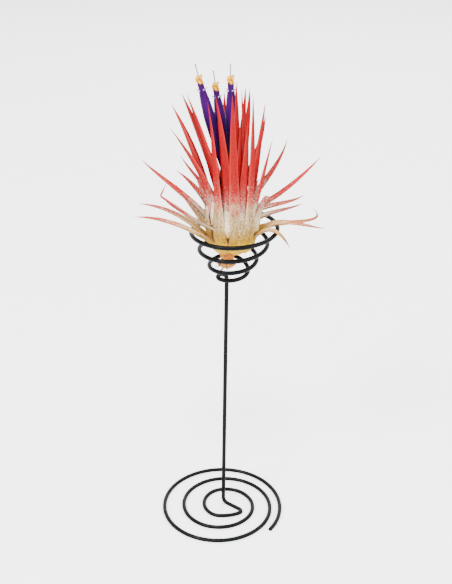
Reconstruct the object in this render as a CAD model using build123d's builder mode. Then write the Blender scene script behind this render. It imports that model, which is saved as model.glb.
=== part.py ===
from build123d import *
from math import cos, dist, radians, sin, tan
import os

# Air plant holder: one length of round steel wire, bent into a flat spiral foot, an upright
# stem and a spiral cup that widens upwards, with a flowering air plant seated in the cup.
# Millimetres, +Z up, standing on Z = 0, centred in plan on the whole object's box.

os.makedirs("parts", exist_ok=True)

# Wire
wire_diameter = 2.0
foot_flat_depth = 0.5
wire_end_round = 0.5

# Stem: its place on the floor, its height up to the cup, how far it runs up past the cup's
# lowest turn before it bends over, and how far its top leans over
stem_x = -3.7
stem_y = 1.0
stem_height = 128.0
stem_overshoot = 0.8
stem_lean = 1.8
foot_bend = 2.6
top_bend = 2.2

# Flat spiral foot: its centre, its widest centre line radius, and the bent-back inner end
foot_x = -4.9
foot_y = -1.9
foot_reach = 30.8
tail_length = 13.2
tail_bend = 1.9

# Spiral cup: its axis in plan, its lowest and widest centre line radius, and its depth
cup_x = -0.15
cup_y = 1.0
cup_lean = 0.65
cup_low_reach = 5.8
cup_top_reach = 21.0
cup_depth = 24.9
cup_entry = 2.9

# Plant: seat above the stem's top, rosette core, and the reach and rise of the longest leaves
seat_rise = 13.9
core_reach = 10.7
core_foot_reach = 4.2
core_top_reach = 4.0
core_height = 34.0
leaf_reach = 44.0
leaf_rise = 75.0
leaf_width = 4.4

# Dry root under the core
root_reach = 4.0
root_height = 6.2
root_tail_height = 4.6
root_shift = 1.9
dry_shoot_diameter = 0.8
dry_shoot_length = 2.0

# Flowers: tube, stamens and style
tube_reach = 2.4
stamen_length = 6.4
stamen_diameter = 1.1
style_diameter = 0.7
style_length = 11.0

# Share tables of the hand-bent spirals, by quarter turns: the foot's radii from its inner end
# outwards, and how far the cup has widened and risen, from its lowest turn upwards
foot_turn_shares = [0.282, 0.276, 0.399, 0.523, 0.562, 0.614, 0.692, 0.808, 0.877, 0.935, 0.951, 0.977]
cup_widening_shares = [0.0, 0.066, 0.132, 0.197, 0.263, 0.329, 0.375, 0.474]
cup_widening_shares += [0.566, 0.612, 0.671, 0.743, 0.809, 0.875, 0.941, 1.0]
cup_rise_shares = [0.0, 0.028, 0.104, 0.253, 0.233, 0.249, 0.337, 0.478]
cup_rise_shares += [0.542, 0.546, 0.639, 0.795, 0.867, 0.867, 0.932, 1.0]

wire_reach = wire_diameter / 2
wire_z = wire_reach - foot_flat_depth
stem_top_z = wire_z + stem_height


def unit(x, y, z=0.0):
    return Vector(x, y, z).normalized()


def spiral_stations(centres, angles, reaches, heights):
    """Points of a spiral and the wire's heading there, taken from the neighbouring points."""
    stations = []
    last = len(angles) - 1
    for i, angle in enumerate(angles):
        before, after = max(i - 1, 0), min(i + 1, last)
        step = radians(angles[after] - angles[before])
        slope = (reaches[after] - reaches[before]) / step
        climb = (heights[after] - heights[before]) / step
        out_x, out_y = cos(radians(angle)), sin(radians(angle))
        point = Vector(centres[i][0] + reaches[i] * out_x, centres[i][1] + reaches[i] * out_y, heights[i])
        heading = unit(slope * out_x - reaches[i] * out_y, slope * out_y + reaches[i] * out_x, climb)
        stations.append((point, heading * (1 if step > 0 else -1)))
    return stations


def tangent_arc(start, corner, end):
    """Arc from start to end, tangent to the lines that meet in the corner between them."""
    middle = (start + end) * 0.5
    rise = corner - middle
    half_chord = (end - start).length / 2
    half_angle = Vector(half_chord, rise.length).get_angle(Vector(1, 0))
    return ThreePointArc(start, middle + rise * (tan(radians(half_angle / 2)) / tan(radians(half_angle))), end)


def join(start, end):
    """A straight run, or a pair of tangent arcs, between two stations."""
    (a, a_heading), (b, b_heading) = start, end
    chord = b - a
    if a_heading.get_angle(chord) < 0.01 and b_heading.get_angle(chord) < 0.01:
        Line(a, b)
        return
    both = a_heading + b_heading
    spread = 4 - both.dot(both)
    along = chord.dot(both)
    if spread < 1e-6:
        reach = chord.dot(chord) / (2 * along)
    else:
        reach = ((along ** 2 + spread * chord.dot(chord)) ** 0.5 - along) / spread
    a_corner = a + a_heading * reach
    b_corner = b - b_heading * reach
    meeting = (a_corner + b_corner) * 0.5
    tangent_arc(a, a_corner, meeting)
    tangent_arc(meeting, b_corner, b)


def elbow(corner, into, out, radius):
    """The two ends of a bend of this radius at a corner between two headings."""
    back = radius * tan(radians(into.get_angle(out) / 2))
    return [(corner - into * back, into), (corner + out * back, out)]


# Wire stations, from the foot's outer end inwards, up the stem and out along the cup
foot_angles = [-90 * (i + 1) for i in range(len(foot_turn_shares))] + [-90 * len(foot_turn_shares) - 35]
foot_reaches = [share * foot_reach for share in foot_turn_shares] + [foot_reach]
foot_centres = [(foot_x, foot_y)] * len(foot_angles)
foot_stations = spiral_stations(foot_centres, foot_angles, foot_reaches, [wire_z] * len(foot_angles))

stem_foot = Vector(stem_x, stem_y, wire_z)
stem_top = Vector(stem_x + stem_lean, stem_y, stem_top_z + stem_overshoot)
stem_heading = (stem_top - stem_foot).normalized()
tail_heading = unit(cos(radians(142.3)), sin(radians(142.3)))
tail_corner = stem_foot - tail_heading * tail_length
tail_return = unit(cos(radians(30)), sin(radians(30)))

cup_turns = len(cup_rise_shares) - 1
cup_angles = [180 + 90 * i for i in range(cup_turns + 1)] + [180 + 90 * cup_turns + 36]
cup_widening_shares.append(cup_widening_shares[-1])
cup_rise_shares.append(cup_rise_shares[-1])
cup_reaches = [cup_low_reach + (cup_top_reach - cup_low_reach) * share for share in cup_widening_shares]
cup_heights = [stem_top_z + cup_depth * share for share in cup_rise_shares]
cup_centres = [(cup_x + cup_lean * share, cup_y) for share in cup_widening_shares]
cup_stations = spiral_stations(cup_centres, cup_angles, cup_reaches, cup_heights)
cup_start = Vector(cup_x - cup_low_reach, cup_y - cup_entry, stem_top_z + stem_overshoot)
cup_stations[0] = (cup_start, unit(0, -1))

stations = [(point, heading * -1) for point, heading in reversed(foot_stations)]
stations.insert(0, (stations[0][0] - stations[0][1] * wire_diameter, stations[0][1]))
stations += elbow(tail_corner, tail_return, tail_heading, tail_bend)
stations += elbow(stem_foot, tail_heading, stem_heading, foot_bend)
stations += elbow(stem_top, stem_heading, unit(-1, 0), top_bend)
stations += cup_stations
stations.append((stations[-1][0] + stations[-1][1] * wire_diameter, stations[-1][1]))

with BuildPart() as wire_stand:
    with BuildLine() as route:
        for start, end in zip(stations, stations[1:]):
            join(start, end)
    with BuildSketch(Plane(origin=stations[0][0], z_dir=stations[0][1])):
        Circle(wire_reach)
    sweep()
    fillet(wire_stand.faces().filter_by(GeomType.PLANE).edges(), wire_end_round)
    split(bisect_by=Plane.XY, keep=Keep.TOP)
wire_stand.part.label = "wire_stand"
export_step(wire_stand.part, "parts/wire_stand.step")

# Least gap between two stretches of the wire, measured on points along its route, leaving out
# the points within four diameters, which lie in the same bend
route_wire = route.wires()[0]
point_step = wire_reach
own_bend = 4 * wire_diameter
route_points = [tuple(route_wire.position_at(i * point_step, PositionMode.LENGTH))
                for i in range(int(route_wire.length / point_step) + 1)]
pair_distances = [
    dist(point, other)
    for i, point in enumerate(route_points)
    for other in route_points[i + int(own_bend / point_step):]
]
print(f"wire length {route_wire.length:.0f} mm, least gap to itself {min(pair_distances) - wire_diameter:.2f} mm")

# Plant axis and seat: the core hangs in the cup, over the stem's top
plant_x = cup_x + cup_lean / 2
plant_y = cup_y
seat_z = stem_top_z + seat_rise


def about_plant(angle, reach, height):
    """A point at an angle and reach about the plant's axis, at a height over its seat."""
    return Vector(
        plant_x + reach * cos(radians(angle)),
        plant_y + reach * sin(radians(angle)),
        seat_z + height,
    )


def turned(outline, base, heading, curve=Spline):
    """Solid of revolution about a heading, with an outline through (radius, distance) points."""
    side = Vector(0, 1, 0).cross(heading).normalized()
    foot, tip = outline[0], outline[-1]
    with BuildPart() as solid:
        with BuildSketch(Plane(origin=base, x_dir=side, z_dir=side.cross(heading))):
            with BuildLine():
                Line((0, foot[1]), foot)
                curve(*outline)
                Line(tip, (0, tip[1]))
                Line((0, tip[1]), (0, foot[1]))
            make_face()
        revolve(axis=Axis(base, heading))
    return solid.part


def finish(piece, name):
    """Label a finished piece and write it."""
    piece.part.label = name
    export_step(piece.part, f"parts/{name}.step")


# Rosette core: a bulb on a flat foot that narrows to a flat top
core_reach_shares = [0.80, 1.0, 1.0, 0.92, 0.70]
core_rise_shares = [0.09, 0.24, 0.34, 0.48, 0.76]
core_outline = [(core_foot_reach, 0)]
core_outline += [(a * core_reach, b * core_height) for a, b in zip(core_reach_shares, core_rise_shares)]
core_outline += [(core_top_reach, core_height)]

with BuildPart() as core:
    add(turned(core_outline, about_plant(0, 0, 0), Vector(0, 0, 1)))
finish(core, "rosette_core")

# Leaves, ring by ring from the lowest outwards one inwards and upwards. A ring has its first
# base angle, its base reach as a share of the core's and its base height as a share of the
# core's. A leaf has its tip angle, reach share and rise share, then the elevation and pull of
# its start and of its tip, and its width share.
ring_shares = {
    "outer_leaf": (7, 0.80, 0.13),
    "second_leaf": (21, 0.80, 0.32),
    "third_leaf": (0, 0.68, 0.52),
    "inner_leaf": (22, 0.46, 0.74),
}
leaf_shares = {
    "outer_leaf": [
        (354, 0.948, 0.145, 52, 0.48, -4, 0.32, 0.95),
        (18, 0.860, 0.195, 32, 0.42, 140, 0.58, 0.90),
        (66, 0.720, 0.300, 46, 0.33, 25, 0.33, 0.95),
        (95, 0.670, 0.250, 48, 0.33, 5, 0.33, 1.00),
        (122, 0.700, 0.320, 48, 0.33, 35, 0.33, 0.95),
        (160, 0.605, 0.360, 50, 0.33, 52, 0.33, 0.75),
        (188, 0.934, 0.305, 50, 0.33, 2, 0.33, 0.90),
        (196, 0.993, 0.256, 44, 0.33, 1, 0.33, 0.95),
        (209, 0.260, 0.893, 67, 0.34, 79, 0.35, 0.80),
        (271, 0.250, 0.947, 68, 0.25, 92, 0.33, 0.96),
        (319, 0.261, 0.943, 68, 0.25, 90, 0.33, 0.82),
        (339, 0.623, 0.044, 58, 0.70, -66, 0.52, 0.80),
    ],
    "second_leaf": [
        (20, 0.786, 0.223, 34, 0.33, 16, 0.33, 0.75),
        (25, 0.840, 0.260, 38, 0.33, 24, 0.33, 0.90),
        (78, 0.610, 0.600, 56, 0.33, 55, 0.33, 0.95),
        (112, 0.560, 0.560, 58, 0.33, 55, 0.33, 0.95),
        (154, 0.620, 0.429, 62, 0.33, 26, 0.33, 0.85),
        (174, 0.902, 0.531, 58, 0.30, 42, 0.33, 1.00),
        (190, 0.636, 0.433, 30, 0.50, 114, 0.42, 0.85),
        (196, 0.670, 0.333, 34, 0.33, 44, 0.33, 0.50),
        (224, 0.215, 0.935, 80, 0.30, 76, 0.40, 0.94),
        (308, 0.240, 0.800, 72, 0.25, 88, 0.33, 0.90),
        (339, 0.416, 0.700, 69, 0.30, 75, 0.33, 0.72),
        (336, 0.430, 0.357, 74, 0.40, -8, 0.25, 0.62),
    ],
    "third_leaf": [
        (13, 0.916, 0.527, 26, 0.33, 45, 0.33, 0.90),
        (14, 0.564, 0.648, 46, 0.33, 76, 0.33, 0.85),
        (57, 0.323, 0.916, 72, 0.25, 88, 0.33, 0.95),
        (107, 0.236, 0.900, 76, 0.25, 90, 0.33, 0.95),
        (145, 0.634, 0.505, 58, 0.33, 50, 0.33, 0.60),
        (178, 0.575, 0.861, 78, 0.33, 58, 0.33, 1.00),
        (193, 0.598, 0.751, 78, 0.33, 52, 0.33, 0.90),
        (262, 0.140, 0.600, 80, 0.30, 92, 0.33, 0.80),
        (300, 0.160, 0.760, 78, 0.25, 92, 0.33, 0.85),
        (348, 0.323, 0.890, 72, 0.25, 80, 0.33, 0.95),
    ],
    "inner_leaf": [
        (26, 0.366, 0.777, 72, 0.33, 82, 0.33, 0.75),
        (54, 0.225, 0.940, 80, 0.25, 88, 0.33, 0.75),
        (112, 0.180, 0.860, 80, 0.25, 88, 0.33, 0.75),
        (159, 0.518, 0.900, 74, 0.33, 62, 0.33, 0.75),
        (186, 0.430, 0.932, 76, 0.33, 64, 0.33, 0.75),
        (236, 0.060, 0.600, 84, 0.25, 92, 0.33, 0.66),
        (300, 0.080, 1.000, 84, 0.25, 92, 0.33, 0.75),
        (350, 0.090, 0.950, 82, 0.25, 92, 0.33, 0.75),
    ],
}

# A leaf's cross-sections: where along it each lies, its width, and the sags of its two arcs
section_place_shares = [0.0, 0.12, 0.28, 0.46, 0.64, 0.82, 1.0]
section_width_shares = [0.86, 1.0, 0.94, 0.80, 0.60, 0.36, 0.12]
leaf_back_share = 0.34
leaf_channel_share = 0.10


def curve_point(points, t):
    """Point and heading at t of the cubic curve with these four control points."""
    a, b, c, d = points
    s = 1 - t
    point = a * s ** 3 + b * (3 * s * s * t) + c * (3 * s * t * t) + d * t ** 3
    heading = (b - a) * (s * s) + (c - b) * (2 * s * t) + (d - c) * (t * t)
    return point, heading.normalized()


def leaf_curve(base_angle, ring, leaf):
    """Control points of a leaf's midrib, from inside the core to its tip."""
    first, base_reach_share, base_rise_share = ring
    angle, reach_share, rise_share, start_rise, start_pull, end_rise, end_pull, width_share = leaf
    base = about_plant(base_angle, base_reach_share * core_reach, base_rise_share * core_height)
    tip = about_plant(angle, reach_share * leaf_reach, rise_share * leaf_rise)
    span = (tip - base).length
    start = Vector(cos(radians(base_angle)), sin(radians(base_angle)), tan(radians(start_rise))).normalized()
    out = cos(radians(end_rise))
    end = Vector(out * cos(radians(angle)), out * sin(radians(angle)), sin(radians(end_rise)))
    return [base, base + start * (span * start_pull), tip - end * (span * end_pull), tip]


def blade(control, base_angle, tip_angle, width):
    """A tapering channelled leaf, lofted through crescents along its midrib."""
    swing = (tip_angle - base_angle + 180) % 360 - 180
    with BuildPart() as solid:
        for place, width_share in zip(section_place_shares, section_width_shares):
            point, heading = curve_point(control, place)
            angle = radians(base_angle + swing * place)
            side = Vector(-sin(angle), cos(angle), 0)
            side = (side - heading * side.dot(heading)).normalized()
            half = width * width_share / 2
            with BuildSketch(Plane(origin=point, x_dir=side, z_dir=heading)):
                with BuildLine():
                    ThreePointArc((-half, 0), (0, -2 * half * leaf_back_share), (half, 0))
                    ThreePointArc((half, 0), (0, -2 * half * leaf_channel_share), (-half, 0))
                make_face()
        loft()
    return solid.part


for ring_name, rows in leaf_shares.items():
    ring = ring_shares[ring_name]
    for index, row in enumerate(rows):
        base_angle = ring[0] + index * 360 / len(rows)
        with BuildPart() as leaf:
            add(blade(leaf_curve(base_angle, ring, row), base_angle, row[0], row[7] * leaf_width))
            add(core.part, mode=Mode.SUBTRACT)
        finish(leaf, f"{ring_name}_{index + 1:02d}")

# Dry root: a stub under the core's foot, a ragged cup under that, and dead shoots beside it.
# The tables give reach and drop shares down from the top.
stub_shares = [(0.90, 0.0), (0.95, 0.35), (0.70, 0.75), (0.62, 1.0)]
tail_shares = [(0.62, 0.0), (1.0, 0.14), (0.94, 0.38), (0.66, 0.62), (0.22, 0.82), (0.10, 1.0)]
shoot_shares = [(186, 0.40, -8), (202, 0.62, -24), (214, 0.30, -38)]
down = Vector(0, 0, -1)
root_top = Vector(plant_x - root_shift, plant_y, seat_z)
tail_top = root_top + down * root_height

with BuildPart() as root_stub:
    add(turned([(a * root_reach, b * root_height) for a, b in stub_shares], root_top, down))
finish(root_stub, "root_stub")

with BuildPart() as root_tail:
    add(turned([(a * root_reach, b * root_tail_height) for a, b in tail_shares], tail_top, down))
finish(root_tail, "root_tail")

with BuildPart() as dry_shoots:
    for angle, drop_share, rise in shoot_shares:
        heading = Vector(cos(radians(angle)), sin(radians(angle)), tan(radians(rise))).normalized()
        with BuildSketch(Plane(origin=tail_top + down * (drop_share * root_tail_height), z_dir=heading)):
            Circle(dry_shoot_diameter / 2)
        extrude(amount=root_reach + dry_shoot_length, taper=3)
    add(root_tail.part, mode=Mode.SUBTRACT)
finish(dry_shoots, "dry_shoots")

# Flowers: where each tube's foot and lip lie, as angle, reach share and rise share about the
# plant's axis. A tube carries six stamens, three long and three short, round one style.
flower_shares = [
    ((175, 0.060, 0.44), (175, 0.282, 0.940)),
    ((118, 0.062, 0.44), (141, 0.180, 0.888)),
    ((300, 0.026, 0.44), (250, 0.026, 0.945)),
]
tube_outline_shares = [(0.40, 0.0), (0.66, 0.30), (0.94, 0.56), (1.0, 0.72), (0.80, 0.90), (0.56, 1.0)]
stamen_outline_shares = [(0.60, 0.0), (0.56, 0.44), (0.84, 0.54), (1.0, 0.72), (0.80, 0.92), (0.30, 1.0)]
style_outline_shares = [(0.6, 0.0), (0.55, 0.5), (0.55, 0.92), (1.0, 0.96), (0.6, 1.0)]
stamen_ring_share = 0.40
short_stamen_share = 0.74
stamen_lean = 9
stamen_angles = [0, 60, 120, 180, 240, 300]

for number, (foot_shares, lip_shares) in enumerate(flower_shares, 1):
    foot = about_plant(foot_shares[0], foot_shares[1] * leaf_reach, foot_shares[2] * leaf_rise)
    lip = about_plant(lip_shares[0], lip_shares[1] * leaf_reach, lip_shares[2] * leaf_rise)
    heading = (lip - foot).normalized()
    length = (lip - foot).length
    with BuildPart() as tube:
        add(turned([(a * tube_reach, b * length) for a, b in tube_outline_shares], foot, heading))
        add(core.part, mode=Mode.SUBTRACT)
    finish(tube, f"flower_{number}_tube")
    lip_plane = Plane(origin=lip, z_dir=heading)
    lip_reach = tube_outline_shares[-1][0] * tube_reach
    with BuildPart() as stamens:
        for k, angle in enumerate(stamen_angles):
            stamen_share = 1.0 if k % 2 else short_stamen_share
            outward = lip_plane.x_dir * cos(radians(angle)) + lip_plane.y_dir * sin(radians(angle))
            leaning = (heading + outward * tan(radians(stamen_lean))).normalized()
            outline = [
                (a * stamen_diameter / 2, b * stamen_share * stamen_length)
                for a, b in stamen_outline_shares
            ]
            add(turned(outline, lip + outward * (stamen_ring_share * lip_reach), leaning, Polyline))
        split(bisect_by=lip_plane, keep=Keep.TOP)
    finish(stamens, f"flower_{number}_stamens")
    with BuildPart() as style:
        outline = [(a * style_diameter / 2, b * style_length) for a, b in style_outline_shares]
        add(turned(outline, lip, heading, Polyline))
    finish(style, f"flower_{number}_style")
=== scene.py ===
from functools import partial
from math import radians
from typing import NamedTuple

import bpy
import numpy as np
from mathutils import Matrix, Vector


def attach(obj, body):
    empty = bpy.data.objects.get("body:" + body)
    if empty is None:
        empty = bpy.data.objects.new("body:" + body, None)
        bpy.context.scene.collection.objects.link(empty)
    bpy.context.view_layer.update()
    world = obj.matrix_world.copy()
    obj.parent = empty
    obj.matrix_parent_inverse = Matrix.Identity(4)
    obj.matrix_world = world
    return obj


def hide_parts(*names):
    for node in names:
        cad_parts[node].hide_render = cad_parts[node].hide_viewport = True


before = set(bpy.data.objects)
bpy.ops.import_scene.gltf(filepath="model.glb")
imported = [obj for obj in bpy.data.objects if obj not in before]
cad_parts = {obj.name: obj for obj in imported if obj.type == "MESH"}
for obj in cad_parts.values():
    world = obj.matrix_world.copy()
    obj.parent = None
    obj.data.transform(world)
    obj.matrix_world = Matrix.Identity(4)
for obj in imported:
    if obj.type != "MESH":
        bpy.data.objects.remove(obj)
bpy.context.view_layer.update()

# Lengths in this script are millimetres in the frame's own axes; the meshes are in metres.
MM = 0.001

# Plant: the foot of its axis, the bulb's radius and height, the leaves' greatest reach, rise
# and width, and the greatest radius of a flower's tube.
PLANT_FOOT = np.array([0.175, 1.0, 142.4])
BULB_REACH = 10.7
BULB_HEIGHT = 34.0
LEAF_REACH = 44.0
LEAF_RISE = 75.0
LEAF_WIDTH = 4.4
TUBE_REACH = 2.55

UP = np.array([0.0, 0.0, 1.0])
DOWN = np.array([0.0, 0.0, -1.0])
FULL_TURN = 2 * np.pi


# Surfaces

def smooth(x, low, high):
    """Smoothstep: 0 below low, 1 above high, 3t^2 - 2t^3 between them."""
    t = np.clip((np.asarray(x, float) - low) / (high - low), 0.0, 1.0)
    return t * t * (3.0 - 2.0 * t)


def unit(vectors):
    """Vectors along the last axis, each divided by its length."""
    return vectors / np.linalg.norm(vectors, axis=-1, keepdims=True)


def distances(path):
    """Distance along a path to each of its points: the running sum of its steps."""
    steps = np.linalg.norm(np.diff(path, axis=0), axis=1)
    return np.concatenate([[0.0], np.cumsum(steps)])


def ring_angles(count):
    """Angles of a closed ring, a full turn in equal steps."""
    return np.arange(count) * (FULL_TURN / count)


def about_plant(angle, reach, height):
    """Point at an angle in degrees, a reach from the plant's axis and a height over its foot."""
    angle = np.radians(angle)
    offset = [reach * np.cos(angle), reach * np.sin(angle), height + 0.0 * angle]
    return PLANT_FOOT + np.stack(offset, axis=-1)


def among_leaves(angle, reach_share, rise_share):
    """Point about the plant, its reach and height given as shares of the leaves'."""
    return about_plant(angle, reach_share * LEAF_REACH, rise_share * LEAF_RISE)


def cubic(control, t):
    """Cubic curve: the four control points weighted by the Bernstein polynomials of t."""
    t = np.asarray(t)[:, None]
    a, b, c, d = (np.asarray(p, float)[None, :] for p in control)
    return a * (1 - t) ** 3 + 3 * b * t * (1 - t) ** 2 + 3 * c * t ** 2 * (1 - t) + d * t ** 3


def square_to(heading):
    """Two unit vectors square to a heading and to each other."""
    side = unit(np.cross([0.0, 1.0, 0.02], heading))
    return side, np.cross(heading, side)


def surface_faces(count, around):
    """Faces of a closed surface: quads between neighbouring rings, then a fan of triangles
    to the middle of the first ring and one to the middle of the last. Gives every corner's
    point, face by face, and the number of corners of each face."""
    ring, here = np.meshgrid(np.arange(count - 1), np.arange(around), indexing="ij")
    ring, here = ring.ravel(), here.ravel()
    beside = (here + 1) % around
    quads = np.stack([ring * around + here, ring * around + beside,
                      (ring + 1) * around + beside, (ring + 1) * around + here], axis=1)
    spoke = np.arange(around)
    next_spoke = (spoke + 1) % around
    first_middle, last_middle = count * around, count * around + 1
    last_ring = (count - 1) * around
    fans = np.concatenate([
        np.stack([next_spoke, spoke, np.full(around, first_middle)], axis=1),
        np.stack([last_ring + spoke, last_ring + next_spoke, np.full(around, last_middle)], axis=1),
    ])
    corners = np.concatenate([quads.ravel(), fans.ravel()])
    sizes = np.concatenate([np.full(len(quads), 4), np.full(len(fans), 3)])
    return corners, sizes


def surface_uv(count, around, lengthwise):
    """UV of every corner of a closed surface: the share round the ring, which runs on to 1
    at the seam, and the ring's lengthwise value."""
    v = np.asarray(lengthwise, float)
    ring, here = np.meshgrid(np.arange(count - 1), np.arange(around), indexing="ij")
    ring, here = ring.ravel(), here.ravel()
    left, right = here / around, (here + 1) / around
    quads = np.stack([
        np.stack([left, v[ring]], 1), np.stack([right, v[ring]], 1),
        np.stack([right, v[ring + 1]], 1), np.stack([left, v[ring + 1]], 1),
    ], axis=1)
    spoke = np.arange(around)
    left, right = spoke / around, (spoke + 1) / around
    middle = (left + right) / 2
    foot, top = 0 * spoke + v[0], 0 * spoke + v[-1]
    fans = np.stack([
        np.stack([right, foot], 1), np.stack([left, foot], 1), np.stack([middle, foot], 1),
    ], axis=1), np.stack([
        np.stack([left, top], 1), np.stack([right, top], 1), np.stack([middle, top], 1),
    ], axis=1)
    return np.concatenate([part.reshape(-1) for part in (quads, *fans)])


def closed_surface(name, rings, lengthwise, **values):
    """Closed surface over rings of points, shape (rings, round, 3), with a fan to the middle
    of the first and of the last ring. Each extra keyword is a vertex attribute, one number
    for each ring or for each point of every ring."""
    count, around = rings.shape[:2]
    points = np.concatenate([rings.reshape(-1, 3), rings[[0, -1]].mean(axis=1)]) * MM
    corners, sizes = surface_faces(count, around)
    starts = np.concatenate([[0], np.cumsum(sizes)[:-1]])
    mesh = bpy.data.meshes.new(name)
    mesh.vertices.add(len(points))
    mesh.vertices.foreach_set("co", points.ravel())
    mesh.loops.add(len(corners))
    mesh.loops.foreach_set("vertex_index", corners)
    mesh.polygons.add(len(sizes))
    mesh.polygons.foreach_set("loop_start", starts)
    mesh.polygons.foreach_set("loop_total", sizes)
    mesh.update(calc_edges=True)
    wrap = mesh.uv_layers.new(name="skin")
    wrap.data.foreach_set("uv", surface_uv(count, around, lengthwise))
    for key, value in values.items():
        value = np.broadcast_to(np.asarray(value, float).reshape(count, -1), (count, around))
        ends = value[[0, -1]].mean(axis=1)
        layer = mesh.attributes.new(key, "FLOAT", "POINT")
        layer.data.foreach_set("value", np.concatenate([value.ravel(), ends]))
    mesh.shade_smooth()
    piece = bpy.data.objects.new(name, mesh)
    bpy.context.scene.collection.objects.link(piece)
    return piece


def merged(name, pieces):
    """One piece from several: their meshes joined."""
    with bpy.context.temp_override(active_object=pieces[0], selected_editable_objects=pieces):
        bpy.ops.object.join()
    pieces[0].name = pieces[0].data.name = name
    return pieces[0]


def settle(piece, slot, finish, *nodes):
    """Gives a finished piece its material and its body, and hides the nodes it stands for. The slot
    is not used.
    """
    piece.data.materials.clear()
    piece.data.materials.append(finish)
    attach(piece, "plant")
    if nodes:
        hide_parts(*nodes)


def frames_along(path, side):
    """Side and normal at each point of a path: the heading from neighbouring points, the
    side made square to it, the normal square to both."""
    heading = unit(np.gradient(path, axis=0))
    side = unit(side - heading * np.sum(heading * side, axis=1, keepdims=True))
    return side, np.cross(heading, side)


def thread(name, path, reach, around):
    """Round thread: a circle of the given radius, one for each point, square to the path."""
    sides, normals = frames_along(path, np.broadcast_to([0.31, 0.87, 0.38], path.shape))
    turn = ring_angles(around)[None, :, None]
    reach = np.broadcast_to(np.asarray(reach, float), (len(path),))[:, None, None]
    rings = path[:, None] + reach * (
        sides[:, None] * np.cos(turn) + normals[:, None] * np.sin(turn))
    run = distances(path)
    share = run / run[-1]
    return closed_surface(name, rings, share, along=share)


def turned(name, base, heading, reaches, runs, around, ripple, first=0.0):
    """Surface of revolution about a heading: each ring is a circle whose radius is
    multiplied by a ripple, a function of the angle round it and its share along. The
    attribute along runs from first to 1."""
    heading = unit(np.asarray(heading, float))
    side, other = square_to(heading)
    turn = ring_angles(around)[None, :]
    share = (runs - runs[0]) / (runs[-1] - runs[0])
    radius = reaches[:, None] * ripple(turn, share[:, None])
    out = np.cos(turn)[..., None] * side + np.sin(turn)[..., None] * other
    rings = base + heading * runs[:, None, None] + radius[..., None] * out
    return closed_surface(name, rings, share, along=first + (1.0 - first) * share)


# Finishes

def tint(red, green, blue):
    """Scene-linear colour of three display values from 0 to 255."""
    shown = np.array([red, green, blue]) / 255.0
    linear = np.where(shown <= 0.04045, shown / 12.92, ((shown + 0.055) / 1.055) ** 2.4)
    return (*[float(x) for x in linear], 1.0)


class Value:
    """A socket of a material; sums, differences and products of it add Math nodes."""

    def __init__(self, finish, socket):
        self.finish = finish
        self.socket = socket

    def _math(self, operation, first, second):
        return self.finish.node("ShaderNodeMath", {"operation": operation}, {0: first, 1: second})

    def __add__(self, other):
        return self._math("ADD", self, other)

    def __radd__(self, other):
        return self._math("ADD", other, self)

    def __sub__(self, other):
        return self._math("SUBTRACT", self, other)

    def __rsub__(self, other):
        return self._math("SUBTRACT", other, self)

    def __mul__(self, other):
        return self._math("MULTIPLY", self, other)

    def __rmul__(self, other):
        return self._math("MULTIPLY", other, self)

    def swing(self, spread):
        """A noise's distance from its middle value, times a spread."""
        return (self - 0.5) * spread


class Finish:
    """A material: its shader, and the one method that adds any other node."""

    def __init__(self, name, **plain):
        self.material = bpy.data.materials.new(name)
        self.material.use_nodes = True
        self.tree = self.material.node_tree
        self.shader = next(n for n in self.tree.nodes if n.type == "BSDF_PRINCIPLED")
        for socket, value in plain.items():
            self.shader.inputs[socket.replace("_", " ")].default_value = value

    def node(self, kind, settings=None, inputs=None, output=0):
        """A node of a kind, with its settings, and values or links for its sockets."""
        made = self.tree.nodes.new(kind)
        for key, value in (settings or {}).items():
            if key == "stops":
                ramp = made.color_ramp
                while len(ramp.elements) < len(value):
                    ramp.elements.new(0.5)
                for element, (place, colour) in zip(ramp.elements, value):
                    element.position = place
                    element.color = colour
            else:
                setattr(made, key, value)
        for key, value in (inputs or {}).items():
            if isinstance(value, Value):
                self.tree.links.new(value.socket, made.inputs[key])
            else:
                made.inputs[key].default_value = value
        return Value(self, made.outputs[output])

    def carried(self, name):
        """A vertex attribute of the piece."""
        return self.node("ShaderNodeAttribute", {"attribute_name": name}, output="Fac")

    def place(self):
        """The point's own place in the frame, in metres."""
        return self.node("ShaderNodeTexCoord", output="Object")

    def height(self):
        """The point's height in the frame, in metres."""
        return self.node("ShaderNodeSeparateXYZ", {}, {"Vector": self.place()}, output="Z")

    def wrap(self):
        """The piece's UV map: the share round it and the value along it."""
        return self.node("ShaderNodeTexCoord", output="UV")

    def stretched(self, vector, scale):
        """A vector with each of its three values scaled."""
        return self.node("ShaderNodeMapping", {}, {"Vector": vector, "Scale": scale})

    def noise(self, vector, scale, detail, roughness=0.5):
        """Noise about 0.5, with so many waves for each unit of the vector."""
        return self.node("ShaderNodeTexNoise", {"noise_dimensions": "3D"},
                         {"Vector": vector, "Scale": scale, "Detail": detail, "Roughness": roughness})

    def between(self, value, low, high, to_low=0.0, to_high=1.0):
        """Smoothstep of a value between two limits."""
        return self.node("ShaderNodeMapRange", {"interpolation_type": "SMOOTHSTEP"},
                         {"Value": value, "From Min": low, "From Max": high,
                          "To Min": to_low, "To Max": to_high})

    def mix(self, mask, first, second):
        """Colours mixed by a mask: the first where it is 0, the second where it is 1."""
        return self.node("ShaderNodeMix", {"data_type": "RGBA"},
                         {0: mask, 6: first, 7: second}, output=2)

    def bump(self, height, strength, distance):
        """Normal tilted by a height, whose full step is a distance in metres."""
        return self.node("ShaderNodeBump", {},
                         {"Height": height, "Strength": strength, "Distance": distance})

    def set(self, **links):
        """Links values to the shader's sockets and gives back the material."""
        for socket, value in links.items():
            self.tree.links.new(value.socket, self.shader.inputs[socket.replace("_", " ")])
        return self.material


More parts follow.
